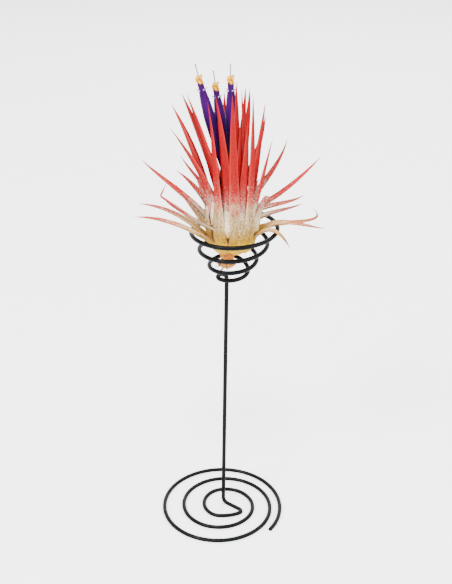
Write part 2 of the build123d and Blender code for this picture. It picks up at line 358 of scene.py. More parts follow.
def coated_wire():
    """Black dip coat on steel: satin, a little uneven in gloss, with a faint orange peel."""
    f = Finish("coated_wire", IOR=1.45, Specular_IOR_Level=0.05, Coat_Roughness=0.08, Coat_IOR=1.30)
    black, grey = tint(3, 4, 5), tint(9, 10, 11)
    spot = f.noise(f.place(), scale=260.0, detail=3.0)
    peel = f.noise(f.place(), scale=1500.0, detail=2.0)
    return f.set(
        Base_Color=f.mix(f.between(spot, 0.35, 0.7), black, grey),
        Roughness=f.between(spot, 0.3, 0.7, to_low=0.26, to_high=0.40),
        Coat_Weight=f.between(spot, 0.3, 0.7, to_low=0.12, to_high=0.06),
        Normal=f.bump(peel, strength=0.12, distance=0.0002),
    )


# Heights in metres between which the leaf bases turn from ochre to cream, and the bulb
# between them to a dark red that is painted shade in the gaps between the leaves.
CREAM_RISE = (0.1480, 0.1580)
BULB_SHADE_RISE = (0.1500, 0.1620)


def leaf_skin(name, cream, coral, red, tip):
    """Leaf: ochre at the foot, cream above it, speckled through coral to red, with pale scales,
    brown specks on the cream, fine lengthwise lines and a dry tip, a pale painted highlight
    along its margins, and painted shade under it and in the gaps beside it."""
    f = Finish(name, IOR=1.40, Specular_IOR_Level=0.04)
    ochre, straw, brown = tint(196, 154, 10), tint(168, 128, 60), tint(78, 54, 32)
    wine, scale_white, highlight_pink = tint(92, 2, 6), tint(206, 176, 158), tint(206, 130, 112)
    dry_foot, painted_shade_red, painted_gap_shade_brown = tint(150, 66, 48), tint(56, 6, 8), tint(52, 30, 14)
    ripe, dry, along = f.carried("ripe"), f.carried("dry"), f.carried("run")
    edge, shade, gap = f.carried("edge"), f.carried("shade"), f.carried("gap")
    place = f.place()
    speck = f.noise(place, scale=1500.0, detail=3.0, roughness=0.8)
    patch = f.noise(place, scale=360.0, detail=2.0)
    grit = f.noise(place, scale=1350.0, detail=3.0, roughness=0.8)
    lines = f.noise(f.stretched(f.wrap(), (22.0, 2.0, 1.0)), scale=1.0, detail=3.0, roughness=0.6)

    flesh = f.mix(f.between(f.height() + patch.swing(0.010), *CREAM_RISE), ochre, cream)
    flesh = f.mix(f.between(lines, 0.44, 0.70) * 0.45, flesh, straw)
    flesh = f.mix(f.between(grit, 0.52, 0.60) * 0.8, flesh, brown)
    ripened = f.between(ripe + speck.swing(2.0) + patch.swing(0.9), 0.34, 0.52)
    bright = f.between(ripe + patch.swing(0.3) + speck.swing(0.3), 0.50, 0.90)
    colour = f.mix(ripened, flesh, f.mix(bright, coral, red))
    colour = f.mix(f.between(lines, 0.48, 0.70) * 0.35, colour, wine)
    scales = f.between(grit, 0.50, 0.60) * (1.0 - ripe * 0.97) * ripened
    colour = f.mix(scales, colour, scale_white)
    # Painted highlight: a pale pink line along the leaf's margins, weaker where the leaf is red.
    rim = f.between(edge, 0.62, 0.98) * (0.34 - ripe * 0.28)
    colour = f.mix(rim, colour, highlight_pink)
    colour = f.mix(dry, colour, f.mix(f.between(along, 0.2, 0.9), dry_foot, tip))
    # Painted shade: dark red under the leaf, and dark brown in the gaps where neighbouring leaves
    # meet low down.
    colour = f.mix(shade, colour, painted_shade_red)
    colour = f.mix(gap, colour, painted_gap_shade_brown)
    return f.set(
        Base_Color=colour,
        Roughness=f.between(speck, 0.35, 0.7, to_low=0.48, to_high=0.68),
        Normal=f.bump(lines * 0.6 + speck * 0.4, strength=0.4, distance=0.00025),
    )


def bulb_skin():
    """Inside of the rosette: ochre low down, and higher up the leaves' red darkened by painted shade
    in the gaps between them.
    """
    f = Finish("bulb_skin", Roughness=0.6, Specular_IOR_Level=0.1)
    ochre, straw, dark_red = tint(170, 120, 32), tint(192, 150, 66), tint(46, 5, 5)
    grain = f.noise(f.place(), scale=900.0, detail=3.0)
    flesh = f.mix(f.between(grain, 0.35, 0.7), ochre, straw)
    # Painted shade: the bulb turns dark red where it shows in the gaps between the leaves.
    painted_gap_shade = f.between(f.height() + grain.swing(0.003), *BULB_SHADE_RISE)
    return f.set(
        Base_Color=f.mix(painted_gap_shade, flesh, dark_red),
        Normal=f.bump(grain, strength=0.3, distance=0.0003),
    )


def root_bark():
    """Root: orange brown, blotched with straw and spotted with dark red."""
    f = Finish("root_bark", Roughness=0.78, Specular_IOR_Level=0.1)
    orange, straw, dark_red = tint(166, 84, 28), tint(196, 134, 66), tint(74, 8, 5)
    blotch = f.noise(f.place(), scale=620.0, detail=3.0, roughness=0.6)
    spot = f.noise(f.place(), scale=1300.0, detail=2.0)
    colour = f.mix(f.between(blotch, 0.38, 0.62), orange, straw)
    colour = f.mix(f.between(spot, 0.58, 0.66), colour, dark_red)
    return f.set(
        Base_Color=colour,
        Normal=f.bump(blotch + spot * 0.5, strength=0.6, distance=0.0005),
    )


def dead_root():
    """Ragged dead root: straw and orange brown fibres with dark brown spots."""
    f = Finish("dead_root", Roughness=0.82, Specular_IOR_Level=0.1)
    orange, straw, brown = tint(158, 84, 20), tint(206, 152, 76), tint(70, 28, 10)
    fibre = f.noise(f.stretched(f.wrap(), (22.0, 3.0, 1.0)), scale=1.0, detail=4.0, roughness=0.7)
    spot = f.noise(f.place(), scale=900.0, detail=2.0)
    colour = f.mix(f.between(fibre, 0.35, 0.68), orange, straw)
    colour = f.mix(f.between(spot, 0.56, 0.68), colour, brown)
    return f.set(
        Base_Color=colour,
        Normal=f.bump(fibre + spot * 0.6, strength=0.7, distance=0.0005),
    )


def petal_skin():
    """Petal tube: violet, darkest at the foot with painted shade and lighter towards the lip, with
    darker lengthwise veins and pale lengthwise streaks that are painted highlights."""
    f = Finish("petal_skin", IOR=1.4, Roughness=0.42, Specular_IOR_Level=0.06)
    highlight_streak, dark_vein = tint(70, 6, 92), tint(14, 1, 28)
    along = f.carried("along")
    vein = f.noise(f.stretched(f.wrap(), (16.0, 1.2, 1.0)), scale=1.0, detail=3.0, roughness=0.6)
    # Painted shade: the tube darkens towards its foot, low among the leaves.
    body = f.node("ShaderNodeValToRGB", {"stops": [
        (0.0, tint(12, 0, 12)),
        (0.42, tint(18, 0, 32)),
        (0.66, tint(30, 0, 54)),
        (0.86, tint(46, 0, 68)),
        (1.0, tint(36, 0, 54)),
    ]}, {0: along})
    # Painted highlight: pale violet streaks along the tube.
    colour = f.mix(f.between(vein, 0.45, 0.78) * 0.45, body, highlight_streak)
    colour = f.mix(f.between(vein, 0.46, 0.26) * 0.5, colour, dark_vein)
    return f.set(Base_Color=colour, Normal=f.bump(vein, strength=0.35, distance=0.0002))


def petal_fringe():
    """Pale curled petal tips."""
    f = Finish("petal_fringe", Roughness=0.5, Specular_IOR_Level=0.15)
    lilac, pale_lilac = tint(130, 92, 160), tint(176, 156, 190)
    vein = f.noise(f.place(), scale=1500.0, detail=2.0)
    return f.set(Base_Color=f.mix(f.between(vein, 0.35, 0.65), lilac, pale_lilac))


def pollen():
    """Anthers: powdery yellow and orange grains."""
    f = Finish("pollen", Roughness=0.8, Specular_IOR_Level=0.05)
    orange, yellow = tint(202, 120, 0), tint(232, 178, 0)
    grain = f.noise(f.place(), scale=2600.0, detail=3.0, roughness=0.7)
    return f.set(
        Base_Color=f.mix(f.between(grain, 0.40, 0.62), orange, yellow),
        Normal=f.bump(grain, strength=0.8, distance=0.0003),
    )


def pale_style():
    """Style: a waxy white thread, violet towards its foot."""
    f = Finish("pale_style", Roughness=0.4)
    violet, grey_white, white = tint(86, 52, 108), tint(104, 100, 98), tint(132, 128, 126)
    fade = f.between(f.carried("along"), 0.25, 0.60)
    wax = f.noise(f.place(), scale=800.0, detail=1.0)
    return f.set(Base_Color=f.mix(fade, violet, f.mix(wax, grey_white, white)))


def paper_floor():
    """Plain pale floor paper, with a very faint unevenness."""
    f = Finish("paper_floor", Roughness=0.85)
    drift = f.noise(f.place(), scale=2.0, detail=1.0)
    return f.set(Base_Color=f.mix(drift, tint(248, 248, 249), tint(252, 251, 251)))


# Bulb

# The bulb's outline, in heights over its foot and radii. It is drawn in by a small share, and
# its ridges twist round it and fade towards the foot.
BULB_RISES = np.array([-0.020, 0.0, 0.09, 0.24, 0.34, 0.48, 0.76, 1.0]) * BULB_HEIGHT
BULB_REACHES = np.array([0.36, 0.46, 0.68, 0.93, 1.0, 0.92, 0.70, 0.37]) * BULB_REACH
BULB_DRAWN_IN = 0.965
BULB_RIDGES = 24
RIDGE_TWIST = 5
RIDGE_DEPTH = 0.03
RIDGE_FADE = (0.02, 0.2)


def bulb_reach(height):
    """Radius of the bulb at a height: straight between the outline's points."""
    return np.interp(height, BULB_RISES, BULB_REACHES)


def bulb():
    """Bulb: its outline turned about the plant's axis, drawn in a little and waved by
    twenty-four shallow ridges that fade towards the foot."""
    runs = np.linspace(BULB_RISES[0], BULB_HEIGHT, 72)

    def ridges(turn, share):
        """The drawn-in share plus a cosine wave round the bulb."""
        wave = RIDGE_DEPTH * np.cos(BULB_RIDGES * turn + RIDGE_TWIST * share)
        return BULB_DRAWN_IN + wave * smooth(share, *RIDGE_FADE)

    return turned("bulb", PLANT_FOOT, UP, bulb_reach(runs), runs, around=144, ripple=ridges)


# Roots

# The root lies to the left of the plant's axis. Each outline is given as shares along it and
# shares of its greatest radius, and its lumps as their seed and weight. The dish's lumps calm
# down by a share towards its tail.
STUB_TOP = PLANT_FOOT + [-1.9, 0.0, -1.4]
STUB_LENGTH = 4.8
STUB_REACH = 4.0
STUB_OUTLINE = ([0, 0.35, 0.75, 1.0], [0.90, 0.93, 0.70, 0.60])
STUB_LUMPS = (3, 0.055)

DISH_TOP = PLANT_FOOT + [-1.9, 0.0, -6.2]
DISH_LENGTH = 4.6
DISH_REACH = 4.35
DISH_OUTLINE = ([0, 0.14, 0.38, 0.62, 0.82, 1.0], [0.60, 1.00, 0.93, 0.64, 0.20, 0.08])
DISH_LUMPS = (8, 0.075)
DISH_CALMED = 0.7

# Lumps: how many waves, how many times each runs along for once round, and the power of its
# number by which a wave weakens.
LUMP_WAVES = 8
LUMP_ALONG = 2.4
LUMP_FALL = 0.7

# Dead shoots: angle, drop below the dish's top as a share of its length, slope and length.
SHOOTS = [
    (186, 0.40, -8, 2.1),
    (202, 0.62, -24, 1.9),
    (214, 0.30, -38, 2.2),
    (150, 0.45, -20, 1.2),
]

# The shoots' start from the dish's axis, the part of each that the dish hides, how far they
# sag, and their radius with its taper and its least.
SHOOT_START = 2.4
SHOOT_BURIED = 1.3
SHOOT_SAG = 0.35
SHOOT_REACH = 0.36
SHOOT_TAPER = 0.8
SHOOT_TIP_REACH = 0.03


def lumps(turn, share, seed, weight):
    """Sum of eight sine waves round and along, with seeded phases and falling weights."""
    rng = np.random.default_rng(seed)
    total = np.zeros(np.broadcast(turn, share).shape)
    for wave in range(1, LUMP_WAVES + 1):
        round_phase, along_phase = rng.uniform(0, FULL_TURN, 2)
        along = np.cos(LUMP_ALONG * wave * share + along_phase)
        total = total + np.sin(wave * turn + round_phase) * along / wave ** LUMP_FALL
    return 1.0 + weight * total


def root_stub():
    """Stub: a short knobbly stem, narrower below, its outline waved by lumps."""
    share = np.linspace(0.0, 1.0, 34)
    reaches = STUB_REACH * np.interp(share, *STUB_OUTLINE)
    return turned("root_stub_bark", STUB_TOP, DOWN, reaches, share * STUB_LENGTH,
                  around=56, ripple=lambda turn, s: lumps(turn, s, *STUB_LUMPS))


def root_dish():
    """Dead end of the root: a ragged dish, wide at its rim and drawn out to a thin tail,
    its rim torn by lumps that fade towards the tail."""
    share = np.linspace(0.0, 1.0, 44)
    reaches = DISH_REACH * np.interp(share, *DISH_OUTLINE)

    def torn(turn, s):
        """One plus the lumps, which calm down towards the tail."""
        return 1.0 + (lumps(turn, s, *DISH_LUMPS) - 1.0) * (1.0 - DISH_CALMED * s)

    return turned("root_dish_fibre", DISH_TOP, DOWN, reaches, share * DISH_LENGTH,
                  around=64, ripple=torn)


def dead_shoots():
    """Dead shoots: thin tapering threads out from the dish, each sagging by half a sine."""
    t = np.linspace(0, 1, 14)[:, None]
    reach = SHOOT_REACH * (1 - SHOOT_TAPER * t[:, 0]) + SHOOT_TIP_REACH
    made = []
    for index, (angle, drop, slope, length) in enumerate(SHOOTS):
        out = unit(np.array([np.cos(radians(angle)), np.sin(radians(angle)), np.tan(radians(slope))]))
        start = DISH_TOP + DISH_LENGTH * drop * DOWN + out * SHOOT_START
        bend = SHOOT_SAG * DOWN * np.sin(np.pi * t) + out * (t * (length + SHOOT_BURIED))
        made.append(thread(f"shoot_{index}", start + bend, reach, around=6))
    return merged("dead_shoots_fibre", made)


# Leaves

class Ring(NamedTuple):
    """A ring of leaves: the first base's angle, the bases' reach and height as shares of the
    bulb's, how far down the bulb the sheaths start below the leaves, and the extra width of
    the sheaths as a share of the leaf's."""
    first_angle: float
    reach_share: float
    height_share: float
    drop: float
    spread: float


class Leaf(NamedTuple):
    """A leaf: its tip's angle, reach share and rise share, the slope and pull of its start and
    of its tip, its width share, how red it ripens and how dry it is."""
    angle: float
    reach_share: float
    rise_share: float
    start_slope: float
    start_pull: float
    tip_slope: float
    tip_pull: float
    width_share: float
    redness: float
    dryness: float


RINGS = {
    "outer_leaf": Ring(7, 0.80, 0.13, 12.0, 0.80),
    "second_leaf": Ring(21, 0.80, 0.32, 9.5, 0.60),
    "third_leaf": Ring(0, 0.68, 0.52, 9.0, 0.25),
    "inner_leaf": Ring(22, 0.46, 0.74, 8.0, 0.10),
}

# Leaves, in the order of a Leaf's fields.
LEAVES = {
    "outer_leaf": [
        (354, 0.948, 0.145, 52, 0.48, -4, 0.32, 0.95, 0.62, 0.55),
        (18, 0.860, 0.195, 32, 0.42, 140, 0.58, 0.90, 0.55, 0.60),
        (66, 0.720, 0.300, 46, 0.33, 25, 0.33, 0.95, 0.80, 0.30),
        (95, 0.670, 0.250, 48, 0.33, 5, 0.33, 1.00, 0.70, 0.35),
        (122, 0.700, 0.320, 48, 0.33, 35, 0.33, 0.95, 0.75, 0.30),
        (160, 0.605, 0.360, 50, 0.33, 52, 0.33, 0.75, 0.80, 0.25),
        (188, 0.934, 0.305, 50, 0.33, 2, 0.33, 1.05, 0.74, 0.30),
        (196, 0.993, 0.256, 44, 0.33, 1, 0.33, 1.10, 0.70, 0.35),
        (209, 0.260, 0.893, 67, 0.34, 79, 0.35, 0.86, 1.00, 0.05),
        (271, 0.250, 0.947, 68, 0.25, 92, 0.33, 0.96, 1.00, 0.05),
        (319, 0.261, 0.943, 68, 0.25, 90, 0.33, 0.84, 1.00, 0.05),
        (339, 0.623, 0.044, 58, 0.70, -66, 0.52, 0.80, 0.15, 0.90),
    ],
    "second_leaf": [
        (20, 0.786, 0.223, 34, 0.33, 16, 0.33, 0.75, 0.70, 0.55),
        (25, 0.840, 0.260, 38, 0.33, 24, 0.33, 0.90, 0.75, 0.50),
        (78, 0.610, 0.600, 56, 0.33, 55, 0.33, 0.95, 0.95, 0.15),
        (112, 0.560, 0.560, 58, 0.33, 55, 0.33, 0.95, 0.95, 0.15),
        (154, 0.620, 0.429, 62, 0.33, 26, 0.33, 0.85, 0.85, 0.20),
        (174, 0.902, 0.531, 58, 0.30, 42, 0.33, 1.00, 0.90, 0.15),
        (190, 0.636, 0.433, 30, 0.50, 114, 0.42, 0.85, 0.75, 0.25),
        (196, 0.670, 0.333, 34, 0.33, 44, 0.33, 0.54, 0.80, 0.20),
        (224, 0.215, 0.935, 80, 0.30, 76, 0.40, 0.98, 1.00, 0.05),
        (308, 0.240, 0.800, 72, 0.25, 88, 0.33, 0.90, 1.00, 0.05),
        (339, 0.416, 0.700, 69, 0.30, 75, 0.33, 0.74, 0.95, 0.10),
        (336, 0.430, 0.357, 74, 0.40, -8, 0.25, 1.30, 0.92, 0.05),
    ],
    "third_leaf": [
        (13, 0.916, 0.527, 26, 0.33, 45, 0.33, 0.90, 0.92, 0.10),
        (14, 0.564, 0.648, 46, 0.33, 76, 0.33, 0.85, 0.85, 0.30),
        (57, 0.323, 0.916, 72, 0.25, 88, 0.33, 0.95, 1.00, 0.05),
        (107, 0.236, 0.900, 76, 0.25, 90, 0.33, 0.95, 1.00, 0.05),
        (145, 0.634, 0.505, 58, 0.33, 50, 0.33, 0.60, 0.80, 0.30),
        (178, 0.575, 0.861, 78, 0.33, 58, 0.33, 1.55, 1.00, 0.05),
        (193, 0.598, 0.751, 78, 0.33, 52, 0.33, 1.14, 0.98, 0.08),
        (262, 0.140, 0.600, 80, 0.30, 92, 0.33, 0.80, 1.00, 0.05),
        (300, 0.160, 0.760, 78, 0.25, 92, 0.33, 0.85, 1.00, 0.05),
        (348, 0.323, 0.890, 72, 0.25, 80, 0.33, 1.12, 1.00, 0.05),
    ],
    "inner_leaf": [
        (26, 0.366, 0.777, 72, 0.33, 82, 0.33, 0.92, 1.00, 0.05),
        (54, 0.225, 0.940, 80, 0.25, 88, 0.33, 0.75, 1.00, 0.05),
        (112, 0.180, 0.860, 80, 0.25, 88, 0.33, 0.75, 1.00, 0.05),
        (159, 0.518, 0.900, 74, 0.33, 62, 0.33, 1.25, 1.00, 0.05),
        (186, 0.430, 0.932, 76, 0.33, 64, 0.33, 1.40, 1.00, 0.05),
        (236, 0.060, 0.600, 84, 0.25, 92, 0.33, 0.66, 1.00, 0.05),
        (300, 0.080, 1.000, 84, 0.25, 92, 0.33, 0.75, 1.00, 0.05),
        (350, 0.090, 0.950, 82, 0.25, 92, 0.33, 0.90, 1.00, 0.05),
    ],
}

# Leaves that are folded sharply: each fold's angle, reach share and rise share.
FOLDS = {"second_leaf_07": (193, 0.705, 0.359), "second_leaf_12": (333, 0.352, 0.356)}
FOLD_PULL = 0.3

# Short sheaths round the bulb's foot: base angle, then the fields of a Leaf.
SHEATHS = [
    (206, (206, 0.300, 0.300, 62, 0.40, 66, 0.33, 1.05, 0.42, 0.10)),
    (234, (232, 0.262, 0.350, 72, 0.40, 78, 0.33, 1.15, 0.50, 0.05)),
    (291, (293, 0.255, 0.290, 76, 0.40, 86, 0.33, 1.10, 0.40, 0.05)),
    (322, (324, 0.270, 0.330, 72, 0.40, 78, 0.33, 1.15, 0.46, 0.05)),
    (352, (350, 0.300, 0.300, 62, 0.40, 66, 0.33, 1.05, 0.42, 0.10)),
]

# A free leaf is out of the bulb from this depth under its outline. A sheath lies on the
# bulb: these are its lowest foot over the plant's foot, the foot's depth under the outline,
# the step up that shows the outline's slope, and the pull of its curve at both ends.
LEAF_BURIED = 0.1
LOWEST_SHEATH = 0.2
SHEATH_DEPTH = 0.5
SHEATH_STEP = 1.2
SHEATH_PULL = 0.38

# The rings of points along a leaf and the points round each. The rings crowd a little at the
# leaf's middle, and the UV map counts this many millimetres as one.
LEAF_RINGS = 72
LEAF_ROUND = 18
LEAF_CROWDING = 0.06
UV_LENGTH = 10.0

# A leaf's width: where the sheath's swell is widest and how far it spreads, as multiples of
# the sheath's length, the power and fullness of the blade, the tip's and the foot's share.
SWELL_PLACE = 0.6
SWELL_SPREAD = 0.62
BLADE_POWER = 2.3
BLADE_FULLNESS = 1.10
TIP_SHARE = 0.02
FOOT_SHARE = 0.45

# A leaf's section, as shares of its width: how far it bows and how plump it is in the sheath,
# and what the blade adds.
SHEATH_BOW, BLADE_BOW = 0.22, 0.02
SHEATH_PLUMP, BLADE_PLUMP = 0.09, 0.04

# Where changes start and are full along a leaf, as multiples of the sheath's length.
FOOT_WIDENS = (0.0, 0.45)
BLADE_BOWS = (0.6, 1.8)
BLADE_PLUMPS = (0.8, 2.0)
DRY_STARTS = (0.7, 1.6)
BACK_DARKENS = (0.9, 1.6)
GAP_FADES = (1.4, 3.2)

# Where the leaf reddens, in millimetres over the plant's foot, shifted from leaf to leaf by a
# sine of the base angle.
RED_STARTS, RED_FULL = 11.0, 39.0
RED_SHIFT = 3.5
RED_SHIFT_WAVE = 2.3

# Dryness: its share over the whole blade and what the tip adds, the limits of that as shares
# of the blade, and the dry tip that every leaf has.
DRY_EVEN, DRY_ADDED = 0.25, 0.75
DRY_BLADE = (0.35, 1.0)
DRY_TIP = 0.55
DRY_TIP_PART = (0.93, 1.0)

# Painted shade under the leaf and in the gaps beside it: how deep, and between which sines
# or cosines of the angle round the section.
BACK_DEPTH, BACK_SINES = 0.45, (0.1, 0.9)
GAP_DEPTH, GAP_COSINES = 0.9, (0.72, 0.98)


def free_leaf(base_angle, ring, leaf):
    """Midrib of the free leaf: a cubic curve from inside the bulb to the tip, and the first
    of its points that is out of the bulb."""
    base = about_plant(base_angle, ring.reach_share * BULB_REACH, ring.height_share * BULB_HEIGHT)
    tip = among_leaves(leaf.angle, leaf.reach_share, leaf.rise_share)
    span = np.linalg.norm(tip - base)
    turn, slope = radians(base_angle), radians(leaf.start_slope)
    start = unit(np.array([np.cos(turn), np.sin(turn), np.tan(slope)]))
    turn, slope = radians(leaf.angle), radians(leaf.tip_slope)
    end = np.array([np.cos(slope) * np.cos(turn), np.cos(slope) * np.sin(turn), np.sin(slope)])
    curve = cubic([base, base + start * span * leaf.start_pull,
                   tip - end * span * leaf.tip_pull, tip],
                  np.linspace(0.0, 1.0, 500))
    offset = curve - PLANT_FOOT
    reach, height = np.hypot(offset[:, 0], offset[:, 1]), offset[:, 2]
    outside = (reach > bulb_reach(height) - LEAF_BURIED) | (height > BULB_HEIGHT)
    return curve, int(np.argmax(outside))


def folded(curve, out, heading, fold):
    """A leaf's midrib folded sharply: a cubic from the bulb to the fold, then straight on to
    the tip."""
    leave, tip = curve[out], curve[-1]
    crease = among_leaves(*fold)
    span = np.linalg.norm(crease - leave)
    lower = cubic([leave, leave + heading * span * FOLD_PULL,
                   crease - unit(crease - leave) * span * FOLD_PULL, crease],
                  np.linspace(0.0, 1.0, 240))
    upper = crease + (tip - crease) * np.linspace(0.0, 1.0, 120)[1:, None]
    return np.concatenate([curve[:out], lower, upper])


def leaf_line(base_angle, ring, leaf, fold):
    """Midrib of a leaf: points, side angles, the place where the leaf leaves the bulb and
    the sheath's foot height. The sheath is a cubic up the bulb's side to where the free leaf
    comes out. The side angle swings evenly from the base's to the tip's."""
    free, out = free_leaf(base_angle, ring, leaf)
    leave, heading = free[out], unit(free[out + 1] - free[out])
    foot_height = max(LOWEST_SHEATH, leave[2] - PLANT_FOOT[2] - ring.drop)
    next_height = foot_height + SHEATH_STEP
    foot = about_plant(base_angle, bulb_reach(foot_height) - SHEATH_DEPTH, foot_height)
    above = about_plant(base_angle, bulb_reach(next_height) - SHEATH_DEPTH, next_height)
    climb = np.linalg.norm(leave - foot)
    sheath = cubic([foot, foot + unit(above - foot) * climb * SHEATH_PULL,
                    leave - heading * climb * SHEATH_PULL, leave],
                   np.linspace(0.0, 1.0, 120))[:-1]
    if fold:
        free = folded(free, out, heading, fold)
    swing = (leaf.angle - base_angle + 180) % 360 - 180
    sheath_angles = np.full(len(sheath), float(base_angle))
    free_angles = base_angle + swing * np.linspace(0.0, 1.0, len(free))[out:]
    side_angles = np.radians(np.concatenate([sheath_angles, free_angles]))
    return np.concatenate([sheath, free[out:]]), side_angles, len(sheath), foot_height


def leaf_piece(name, base_angle, ring, leaf, fold=None):
    """Leaf: its section is an arc that a point goes round by an angle. The point lies half
    the width times the angle's cosine across, and the width times (plump times the sine,
    less bow times the sine squared) through. The width is the sheath's swell, a bell over
    the bulb, plus the blade's, one less a power of the share along it."""
    line, side_angles, joint, foot_height = leaf_line(base_angle, ring, leaf, fold)
    run = distances(line)
    share = np.linspace(0.0, 1.0, LEAF_RINGS)
    at = run[-1] * (share + LEAF_CROWDING * np.sin(FULL_TURN * share) / FULL_TURN)
    path = np.stack([np.interp(at, run, line[:, axis]) for axis in range(3)], axis=1)
    angles = np.interp(at, run, side_angles)
    side = np.stack([-np.sin(angles), np.cos(angles), 0.0 * angles], axis=1)
    side, normal = frames_along(path, side)
    leave = run[joint]
    free = np.clip((at - leave) / (run[-1] - leave), 0.0, 1.0)

    def along(limits):
        """Smoothstep of the distance along, between multiples of the sheath's length."""
        return smooth(at, limits[0] * leave, limits[1] * leave)

    swell = ring.spread * np.exp(-((at - SWELL_PLACE * leave) / (SWELL_SPREAD * leave)) ** 2)
    blade = (1.0 - free ** BLADE_POWER) * BLADE_FULLNESS
    foot = FOOT_SHARE + (1 - FOOT_SHARE) * along(FOOT_WIDENS)
    width = leaf.width_share * LEAF_WIDTH * (blade + TIP_SHARE + swell) * foot
    bow = SHEATH_BOW + BLADE_BOW * along(BLADE_BOWS)
    plump = SHEATH_PLUMP + BLADE_PLUMP * along(BLADE_PLUMPS)
    turn = ring_angles(LEAF_ROUND)[None, :]
    across = (width[:, None] / 2) * np.cos(turn)
    through = width[:, None] * (plump[:, None] * np.sin(turn) - bow[:, None] * np.sin(turn) ** 2)
    rings = path[:, None] + side[:, None] * across[..., None] + normal[:, None] * through[..., None]

    shift = RED_SHIFT * np.sin(RED_SHIFT_WAVE * base_angle)
    ripe = leaf.redness * smooth(at + foot_height, RED_STARTS + shift, RED_FULL + shift)
    dry = leaf.dryness * (DRY_EVEN + DRY_ADDED * smooth(free, *DRY_BLADE)) * along(DRY_STARTS)
    dry = np.maximum(dry, DRY_TIP * smooth(free, *DRY_TIP_PART))
    edge = np.abs(np.cos(turn)) + 0.0 * at[:, None]
    # Painted shade: darkening under the leaf, and at its edges low down where neighbouring leaves
    # meet.
    shade = BACK_DEPTH * smooth(-np.sin(turn), *BACK_SINES) * along(BACK_DARKENS)[:, None]
    gap = GAP_DEPTH * smooth(edge, *GAP_COSINES) * (1.0 - along(GAP_FADES))[:, None]
    return closed_surface(name, rings, at / UV_LENGTH, ripe=ripe, dry=dry, run=share, edge=edge,
                          shade=shade, gap=gap)


# Flowers

# Flowers: where the tube's foot and lip lie, each as angle, reach share and rise share.
FLOWERS = [
    ((175, 0.060, 0.44), (175, 0.282, 0.940)),
    ((118, 0.062, 0.44), (141, 0.180, 0.888)),
    ((300, 0.026, 0.44), (250, 0.026, 0.945)),
]

# Tube: its outline as shares along it and of its greatest radius, averaged over so many
# rings. Each of its petals winds round it, and its radius grows and drops in a step.
TUBE_OUTLINE = ([0, 0.30, 0.56, 0.72, 0.90, 1.0], [0.40, 0.66, 0.94, 1.00, 0.80, 0.56])
TUBE_AVERAGED = 7
TUBE_PETALS = 3
PETAL_TWIST = 1.1
PETAL_START = 0.93
PETAL_STEP = 0.07
PETAL_GROWS, PETAL_DROPS = (0.0, 0.92), (0.94, 1.0)

# Petal tips: how far under the lip they start and how far out, how long they are, and how
# far they curl, as the last angle of a sine in radians.
TIP_COUNT = 5
TIP_FIRST_TURN = 0.1
TIP_UNDER_LIP = 0.6
TIP_START = 1.0
TIP_LENGTH = 1.9
TIP_POWER = 1.1
TIP_CURL = 2.3
TIP_REACH = 0.34
TIP_TAPER = 0.7

# Filament column: its depth under the lip, its length, outline and grooves, and the share
# along a petal whose violet its foot has.
COLUMN_UNDER_LIP = 0.6
COLUMN_LENGTH = 4.3
COLUMN_OUTLINE = ([0.0, 0.85, 1.0], [1.15, 1.20, 0.75])
COLUMN_GROOVES = 6
GROOVE_DEPTH = 0.13
GROOVE_TWIST = 0.8
COLUMN_VIOLET = 0.8

# Anthers: the angle and rise from one to the next, the lowest one's rise over the lip, the
# seeded limits of each, and their radius and knobs.
ANTHER_SEED = 17
ANTHER_COUNT = 9
ANTHER_TURN = 2.4
ANTHER_LOWEST = 2.7
ANTHER_STEP = 0.36
ANTHER_JITTER = (-0.2, 0.2)
ANTHER_LEAN = (0.0, 0.9)
ANTHER_SLANT = (-0.5, 0.5)
ANTHER_OUT = (0.75, 1.15)
ANTHER_LENGTH = (1.9, 2.5)
ANTHER_BACK = 1.1
ANTHER_REACH = 0.60
KNOB_DEPTH = 0.18
KNOBS_ROUND, KNOBS_ALONG = 4, 9

# Style: its length and radius, and its knob's radius and limits as shares along it.
STYLE_LENGTH = 10.9
STYLE_REACH = 0.28
STYLE_KNOB = 0.10
KNOB_SWELLS, KNOB_CLOSES = (0.93, 0.97), (0.985, 1.0)
KNOB_CLOSED_SHARE = 0.7


def petal_tube(name, foot, lip):
    """Tube: its outline turned about its axis, with three overlapping petals: the radius
    drops in a step at each of three edges that wind slowly round it."""
    length = np.linalg.norm(lip - foot)
    share = np.linspace(0.0, 1.0, 70)
    reaches = TUBE_REACH * np.interp(share, *TUBE_OUTLINE)
    reaches = np.convolve(np.pad(reaches, TUBE_AVERAGED // 2, mode="edge"),
                          np.full(TUBE_AVERAGED, 1 / TUBE_AVERAGED), mode="valid")

    def petals(turn, s):
        """A petal's start, growing by the step to its edge, where the next petal starts."""
        phase = (TUBE_PETALS * (turn - PETAL_TWIST * s) / FULL_TURN) % 1.0
        grown = PETAL_STEP * smooth(phase, *PETAL_GROWS) * (1 - smooth(phase, *PETAL_DROPS))
        return PETAL_START + grown

    return turned(name, foot, lip - foot, reaches, share * length, around=54, ripple=petals)


def petal_tips(name, foot, lip):
    """Petal tips: five short tapering threads that start just under the lip, go outwards and
    curl up along a sine."""
    heading = unit(lip - foot)
    side, other = square_to(heading)
    t = np.linspace(0, 1, 16)[:, None]
    made = []
    for index in range(TIP_COUNT):
        turn = FULL_TURN * index / TIP_COUNT + TIP_FIRST_TURN
        out = side * np.cos(turn) + other * np.sin(turn)
        path = (lip - heading * TIP_UNDER_LIP + out * (TIP_START + TIP_LENGTH * t ** TIP_POWER)
                + heading * np.sin(TIP_CURL * t))
        reach = TIP_REACH * (1 - TIP_TAPER * t[:, 0])
        made.append(thread(f"{name}_{index}", path, reach, around=6))
    return merged(name, made)


